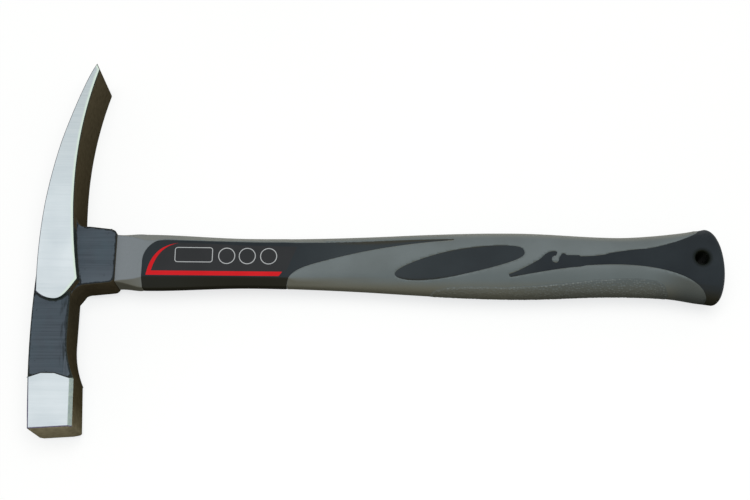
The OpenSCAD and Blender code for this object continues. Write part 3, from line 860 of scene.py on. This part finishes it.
def make_grey_jacket():
    """Grey hard moulding with a fine matt grain, painted light on its upward facets and a browner painted
    shade below.
    """
    material, tree, shader = finish("grey_jacket", "#6c7475", 0.55)
    grain = noise(tree, 3200, 3)
    cloud = noise(tree, 45, 3)
    tone = ramp(tree, cloud, (0.3, "#676f70"), (0.7, "#717a7c"))
    tone = blend(tree, along(tree, 45, 0), tone, "#7e858a")
    # painted light: paler and warmer on the facets that face up
    tone = blend(tree, times(tree, facing(tree, 0.5, 0.9), 0.7), tone, "#8f9084")
    # painted shade on the facets that tilt down, past the neck
    lower_side_painted_shade = times(tree, facing(tree, 0.05, -0.35), along(tree, 60, 160))
    tone = blend(tree, times(tree, lower_side_painted_shade, 0.5), tone, "#555f60")
    # painted shade: browner where the handle faces down
    tone = blend(tree, times(tree, underside(tree), 0.85), tone, "#727060")
    # painted shade on the downward faces by the butt
    butt_painted_shade = times(tree, along(tree, 254, 276), facing(tree, 0.0, -0.4))
    tone = blend(tree, butt_painted_shade, tone, "#4c504d")
    feed(tree, shader.inputs["Specular IOR Level"], times(tree, rest_of(tree, underside(tree)), 0.22))
    pebble = attribute(tree, "pebble")
    plainer = math(tree, "MULTIPLY_ADD", along(tree, 185, 215, "LINEAR"), 0.6, 0.4)
    field = times(tree, below(tree, rest_of(tree, pebble), 0.95, 0.05), plainer)
    tone = blend(tree, times(tree, field, 0.5), tone, "#464c4c")
    # painted highlight on the pebbles' tops
    pebble_top_highlight = times(tree, ramp(tree, pebble, (0.5, 0.0), (1.0, 0.3)), plainer)
    tone = blend(tree, pebble_top_highlight, tone, "#7f8684")
    # painted highlight along the pebbled grip's upper edge
    tone = blend(tree, ramp(tree, attribute(tree, "painted_lip_highlight"), (0.2, 0.0), (0.9, 0.6)), tone, "#8a9190")
    tone = blend(tree, ramp(tree, grain, (0.4, 0.0), (0.8, 0.25)), tone, "#5f6766")
    coat(tree, shader, tone, grain, 0.05 * MM, 0.5)
    return material


def make_rubber():
    """Black soft moulding, with a painted sheen on the upward facets between the neck and the grip, and
    painted shade below and in the hang hole.
    """
    material, tree, shader = finish("black_rubber", "#282d31", 0.55, Specular_IOR_Level=0.08)
    grain = noise(tree, 2600, 3)
    cloud = noise(tree, 50, 3)
    tone = ramp(tree, cloud, (0.3, "#262b2f"), (0.7, "#2d3337"))
    reach = along(tree, 75, 215, "LINEAR")
    paler = ramp(tree, reach, (0.0, 0.0), (0.32, 0.5), (0.64, 0.25), (0.86, 0.2), (0.96, 0.0))
    tone = blend(tree, paler, tone, "#454c4f")
    # painted sheen: browner and paler on the facets that face up, between the neck and the grip
    taper = times(tree, along(tree, 95, 125), along(tree, 190, 170))
    tone = blend(tree, times(tree, taper, facing(tree, 0.2, 0.65)), tone, "#3b3a32")
    # painted shade: browner where the handle faces down
    tone = blend(tree, times(tree, underside(tree), 0.9), tone, "#302f25")
    # painted shade in the hang hole
    tone = blend(tree, hang_shade(tree), tone, "#151811")
    shaded = math(tree, "MAXIMUM", underside(tree), hang_shade(tree))
    feed(tree, shader.inputs["Specular IOR Level"], times(tree, rest_of(tree, shaded), 0.08))
    coat(tree, shader, tone, grain, 0.04 * MM, 0.5)
    return material


def make_plain(name, colour, other, roughness, scale, depth, **sockets):
    """A moulded or printed finish: two near tones in soft clouds and a fine grain."""
    material, tree, shader = finish(name, colour, roughness, **sockets)
    clouds = ramp(tree, noise(tree, scale / 20, 3), (0.3, colour), (0.7, other))
    coat(tree, shader, clouds, noise(tree, scale, 3), depth, 0.4)
    return material


ground_steel, slate_paint, scale_and_painted_shade = make_ground_steel(), make_slate_paint(), make_scale_and_painted_shade()
# the head's rounded edges: painted shade, a painted purple sheen and a painted greenish highlight
edge_painted_shade = make_painted_edge_light("edge_painted_shade", "#1b2321", "#29332f", 0.5, 0.0)
edge_painted_sheen = make_painted_edge_light("edge_painted_sheen", "#57516a", "#6d6780", 0.45, 0.3)
edge_painted_highlight = make_painted_edge_light("edge_painted_highlight", "#94a4a2", "#a9b8ae", 0.4, 0.6)
grey_jacket, black_rubber = make_grey_jacket(), make_rubber()
film_finish = make_plain("label_film", "#26282a", "#2a2c2e", 0.4, 1500, 0.01 * MM, Specular_IOR_Level=0.2)
red_ink = make_plain("red_ink", "#ca1820", "#d21e26", 0.4, 1500, 0.01 * MM, Specular_IOR_Level=0.2)
pale_ink = make_plain("pale_ink", "#a9adb0", "#b5b8ba", 0.4, 1500, 0.01 * MM)
resin = make_plain("eye_resin", "#17191b", "#1f2224", 0.45, 500, 0.05 * MM, Specular_IOR_Level=0.15)
fibreglass = make_plain("fibreglass", "#c9bb86", "#b8a973", 0.5, 900, 0.05 * MM)

# -------------------------------- labels
INK_LOW, INK_HIGH = FLAT_Z - 0.02, FLAT_Z + 0.04     # the print, from just inside the film
FRAME_LOW, FRAME_HIGH = (28.2, -1.9), (46.6, 5.7)
FRAME_R, FRAME_LINE = 1.4, 0.4
RINGS_X, RINGS_Y = (53.3, 63.2, 73.5), 1.5
RING_R, RING_LINE = 4.1, 0.42


def label(name, side):
    """A film in its bed, with a red stripe, a plain frame and three plain rings printed on it."""
    film = prism(name, label_outline(), FLAT_Z - LABEL_T, FLAT_Z)
    stripe = prism("stripe", stripe_outline(), INK_LOW, INK_HIGH)
    marks = [plain_frame()] + [plain_ring(x, RINGS_Y) for x in RINGS_X]
    for part, slot in [(film, 0), (stripe, 1)] + [(mark, 2) for mark in marks]:
        part.data.materials.clear()
        for material in (film_finish, red_ink, pale_ink):
            part.data.materials.append(material)
        for face in part.data.polygons:
            face.material_index = slot
    bpy.ops.object.select_all(action="DESELECT")
    for part in [film, stripe] + marks:
        part.select_set(True)
    bpy.context.view_layer.objects.active = film
    bpy.ops.object.join()
    if side < 0:
        mirror(film)
    return film


def plain_ring(x, y):
    inner = RING_R - RING_LINE
    ring = turned("ring", on_handle(x, y), [(INK_LOW, RING_R), (INK_HIGH, RING_R)], 64)
    hole = turned("ring_hole", on_handle(x, y), [(FLAT_Z - 1, inner), (FLAT_Z + 1, inner)], 64)
    cut(ring, hole)
    return ring


def round_corners(low, high, radius):
    """The outline of a rectangle with rounded corners."""
    steps, out = 5, []
    for x, y, start in ((high[0] - radius, high[1] - radius, 0), (low[0] + radius, high[1] - radius, 90),
                        (low[0] + radius, low[1] + radius, 180), (high[0] - radius, low[1] + radius, 270)):
        for i in range(steps + 1):
            w = radians(start + 90 * i / steps)
            out.append((x + radius * cos(w), y + radius * sin(w)))
    return out


def plain_frame():
    outline = round_corners(FRAME_LOW, FRAME_HIGH, FRAME_R)
    inside = round_corners([v + FRAME_LINE for v in FRAME_LOW], [v - FRAME_LINE for v in FRAME_HIGH],
                           FRAME_R - FRAME_LINE)
    rim = prism("frame", outline, INK_LOW, INK_HIGH)
    cut(rim, prism("frame_hole", inside, FLAT_Z - 1, FLAT_Z + 1))
    return rim


# -------------------------------- the head
# slots 2 to 5 hold painted shade and light: the scale's painted shade, and the edges' painted shade, sheen
# and highlight
STEEL, SLATE, SCALE_AND_PAINTED_SHADE, PAINTED_SHADE, PAINTED_SHEEN, PAINTED_HIGHLIGHT = range(6)     # the head's finishes, in slot order
BODY_Z = 11.2                          # half thickness between the socket's edges and the body's
CHEEK_Z = 12.5                         # the cheeks and blade stand out past this half thickness
EDGE_W = 0.35 * MM                     # width of the rounding of the forging's edges
GRID = 1.5 * MM                        # how finely the flats are cut, to hold how far off their edge is
FACE_Y = -80.0                         # the striking face's bevelled edges lie below this height
# The arch over the bare end of the poll: three lines, each by a point and its slope
ARCH = (((5.6, ARCH_Y), -0.36), ((8.0, ARCH_Y), 0.0), ((11.8, ARCH_Y), 0.32))


def slice_slots(piece, slots, planes):
    """Cuts the faces with these finishes along planes, each a (centre, normal), and keeps both sides."""
    edit(piece, "FACE")
    for centre, normal in planes:
        bpy.ops.mesh.select_all(action="DESELECT")
        for slot in slots:
            piece.active_material_index = slot
            bpy.ops.object.material_slot_select()
        bpy.ops.mesh.bisect(plane_co=centre, plane_no=normal)
    leave()


def sort_faces(piece):
    """Gives each face of the forging its finish, by where it lies and which way it looks: rounded edges,
    step walls and the socket's mouth get painted shade, and edges get a painted sheen or a painted highlight
    by which way they face.
    """
    for face in piece.data.polygons:
        x, y, z = (face.center - on_head(0, 0)) / MM
        side, turn = abs(face.normal.z), face.normal.x
        poll = y < ARCH_Y - 2
        if face.material_index in (PAINTED_SHEEN, PAINTED_HIGHLIGHT):
            continue
        if face.material_index == PAINTED_SHADE:            # so far every rounded edge
            if abs(z) < BODY_Z:
                face.material_index = SCALE_AND_PAINTED_SHADE
            # painted sheen on the poll's left edges and about the striking face, painted highlight on its
            # right edges
            elif poll:
                face.material_index = PAINTED_SHEEN if turn < 0 or y < FACE_Y else PAINTED_HIGHLIGHT
            # painted sheen on the cheeks' and blade's left edges
            elif abs(z) > CHEEK_Z and turn < -0.3 and side > 0.2:
                face.material_index = PAINTED_SHEEN
        # painted shade on the walls of the cheeks' and blade's steps
        elif side < 0.2 and abs(z) > CHEEK_Z and turn > -0.5 and not poll:
            face.material_index = PAINTED_SHADE
        elif not poll and abs(z) > CHEEK_Z and side > 0.25:
            face.material_index = STEEL
        # painted shade on the socket's mouth
        elif turn > 0.8 and x > SOCKET - 3.1:      # the socket's mouth
            face.material_index = PAINTED_SHADE
        elif side > 0.3 and turn > 0 and -12 < y < 13 and abs(z) > 9:     # its rounded rim
            face.material_index = SLATE
        elif side > 0.8:
            bare = all(y < at[1] - slope * (x - at[0]) for at, slope in ARCH)
            face.material_index = STEEL if bare else SLATE
        # the poll's long chamfers: painted highlight on the right, painted sheen on the left
        elif poll and side > 0.4 and face.normal.y > -0.4:
            face.material_index = PAINTED_HIGHLIGHT if turn > 0 else PAINTED_SHEEN
        else:
            face.material_index = SCALE_AND_PAINTED_SHADE


def edge_gaps(piece, slots):
    """Writes how far the points of these finishes lie from their edge, and from its right side, in mm."""
    mesh = piece.data
    every, right = [], []
    for edge, faces in faces_by_edge(mesh).items():
        if len(faces) == 2 and (faces[0].material_index in slots) != (faces[1].material_index in slots):
            outside = faces[1] if faces[0].material_index in slots else faces[0]
            points = dots(mesh, edge, 0.3 * MM)
            every += points
            if outside.normal.x > 0.15:
                right += points
    inside = {v for face in mesh.polygons if face.material_index in slots for v in face.vertices}
    for name, points in (("edge_gap", every), ("right_gap", right)):
        nearest = nearest_of(points)
        written = mesh.attributes.get(name) or mesh.attributes.new(name, "FLOAT", "POINT")
        for v in inside:
            written.data[v].value = nearest.find(mesh.vertices[v].co)[2] / MM


LIP_R, LIP_DROP = 2.4, 0.26            # the mouth's rounded lower corner, and the step where it starts
LIP_AT = SOCKET - LIP_R
BACK_R, BACK_Y = 270.0, -5.0           # radius of the blade's back, and the height of its centre
SLOPE = ((7.15, 56.75), (21.6, 98.4))  # from where the back is ground flat to the cutting edge


def round_back(piece):
    """Carries most of the back's arc on over the ground slope, almost to the cutting edge."""
    (x0, y0), (x1, y1) = SLOPE
    steps = 12
    edit(piece, "FACE")
    for i in range(1, steps):
        bpy.ops.mesh.select_all(action="SELECT")
        bpy.ops.mesh.bisect(plane_co=on_head(0, mix(y0, y1, i / steps)), plane_no=(0, 1, 0))
    leave()
    for vertex in piece.data.vertices:
        x, y, _ = (vertex.co - on_head(0, 0)) / MM
        t = (y - y0) / (y1 - y0)
        if 0.02 < t < 0.98 and abs(x - mix(x0, x1, t)) < 0.4:
            arc = BACK_R - sqrt(BACK_R ** 2 - (y - BACK_Y) ** 2)
            vertex.co.x += (arc - x) * 0.75 * (1 - t ** 12) * MM


def drop_lip(piece):
    """Closes the small step between the socket's underside and the mouth's rounded lower corner."""
    for vertex in piece.data.vertices:
        x, y, _ = (vertex.co - on_head(0, 0)) / MM
        if x > LIP_AT - 0.05 and -13 < y < -10:
            vertex.co.y -= LIP_DROP * (1 - (x - LIP_AT) / LIP_R) * MM


def forged_head():
    """The forging with its edges rounded, cut up where a finish ends, and each face given its finish."""
    piece = merged(twin(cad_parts["head"], "forged_head"))
    drop_lip(piece)
    edit_all(piece)
    bpy.ops.mesh.remove_doubles(threshold=0.15 * MM)
    bpy.ops.mesh.dissolve_limited(angle_limit=radians(0.3))
    leave()
    round_back(piece)
    piece.data.materials.clear()
    for material in (ground_steel, slate_paint, scale_and_painted_shade, edge_painted_shade, edge_painted_sheen, edge_painted_highlight):
        piece.data.materials.append(material)
    # the rounded edges all start in painted shade
    modify(piece, "BEVEL", width=EDGE_W, segments=3, limit_method="ANGLE", angle_limit=radians(32),
           use_clamp_overlap=False, miter_outer="MITER_ARC", material=PAINTED_SHADE)
    sort_faces(piece)
    slice_slots(piece, (SLATE, STEEL), [(on_head(*at), (slope, 1, 0)) for at, slope in ARCH])
    sort_faces(piece)
    grid = []
    for axis, normal in ((0, (1, 0, 0)), (1, (0, 1, 0))):
        count = int((head_high[axis] - head_low[axis]) / GRID)
        grid += [(head_low.lerp(head_high, (i + 1) / (count + 1)), normal) for i in range(count)]
    slice_slots(piece, (SLATE, STEEL), grid)
    for slots in ((SLATE,), (STEEL,)):
        edge_gaps(piece, slots)
    smooth(piece, 40)
    return piece


head = forged_head()
upper_label, lower_label = label("upper_label_film", 1), label("lower_label_film", -1)
for piece, material in ((jacket, grey_jacket), (neck_sleeve, black_rubber), (butt_cap, black_rubber),
                        (pads[0], black_rubber), (pads[1], black_rubber),
                        (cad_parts["eye_resin"], resin),
                        (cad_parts["fibreglass_core"], fibreglass)):
    piece.data.materials.clear()
    piece.data.materials.append(material)

for piece, node_name, slot in ((head, "head", "head_steel"), (jacket, "handle_jacket", "grey_jacket"),
                               (neck_sleeve, "neck_overmould", "black_rubber"),
                               (butt_cap, "butt_overmould", "black_rubber"),
                               (pads[0], "upper_thumb_inlay", "black_rubber"),
                               (pads[1], "lower_thumb_inlay", "black_rubber"),
                               (upper_label, "upper_label", "label_film"),
                               (lower_label, "lower_label", "label_film")):
    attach(piece, "root")
    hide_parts(node_name)

# -------------------------------- floor, light and camera
def camera_and_mirror_rays(tree):
    """1 for what the camera sees itself, in a mirror or through glass, 0 for light that is thrown back."""
    rays = node(tree, "LightPath")
    seen = math(tree, "MAXIMUM", rays.outputs["Is Camera Ray"], rays.outputs["Is Glossy Ray"])
    return math(tree, "MAXIMUM", seen, rays.outputs["Is Transmission Ray"])


def make_floor():
    """A pale floor that shows white, with the hammer's shadow, and throws back little light."""
    material, tree, shader = finish("pale_floor", "#9c9b98", 0.9, Specular_IOR_Level=0.0)
    cloud = noise(tree, 3, 2)
    tree.links.new(ramp(tree, cloud, (0.3, "#9a9996"), (0.7, "#9e9d9a")), shader.inputs["Base Color"])
    shader.inputs["Emission Color"].default_value = (0.71, 0.72, 0.73, 1)
    tree.links.new(camera_and_mirror_rays(tree), shader.inputs["Emission Strength"])
    return material


bpy.ops.mesh.primitive_plane_add(size=8, location=(0, 0, -0.0001))
floor = bpy.context.object
floor.name = "studio_floor"
bpy.ops.object.transform_apply(location=True)
floor.data.materials.append(make_floor())

world = bpy.data.worlds.new("soft_room")
bpy.context.scene.world = world
world.use_nodes = True
room = world.node_tree
glow = blend(room, camera_and_mirror_rays(room), (0.27, 0.26, 0.24, 1), (1.0, 1.0, 1.0, 1))
room.links.new(glow, room.nodes["Background"].inputs["Color"])


def lamp(name, spot, aim, size, power, colour):
    light = bpy.data.lights.new(name, "AREA")
    light.size, light.energy, light.color = size, power, colour
    holder = bpy.data.objects.new(name, light)
    holder.visible_glossy = False
    bpy.context.scene.collection.objects.link(holder)
    holder.location = spot
    holder.rotation_euler = (Vector(aim) - Vector(spot)).to_track_quat("-Z", "Y").to_euler()


lamp("softbox", (0.04, -0.05, 1.15), (0, 0, 0), 0.7, 9.5, (0.99, 0.995, 1.0))

optics = bpy.data.cameras.new("camera")
optics.lens, optics.sensor_width, optics.clip_start = 65.5, 36, 0.01
camera = bpy.data.objects.new("camera", optics)
bpy.context.scene.collection.objects.link(camera)
ahead = Vector((-0.0035, 0.2984, -0.9544)).normalized()
across = ahead.cross(Vector((-0.0103, 0.9544, 0.2985))).normalized()
camera.matrix_world = Matrix((across, across.cross(ahead), -ahead)).transposed().to_4x4()
camera.location = (-0.0005, -0.1980, 0.6529)
bpy.context.scene.camera = camera
bpy.context.scene.view_settings.view_transform = "Standard"
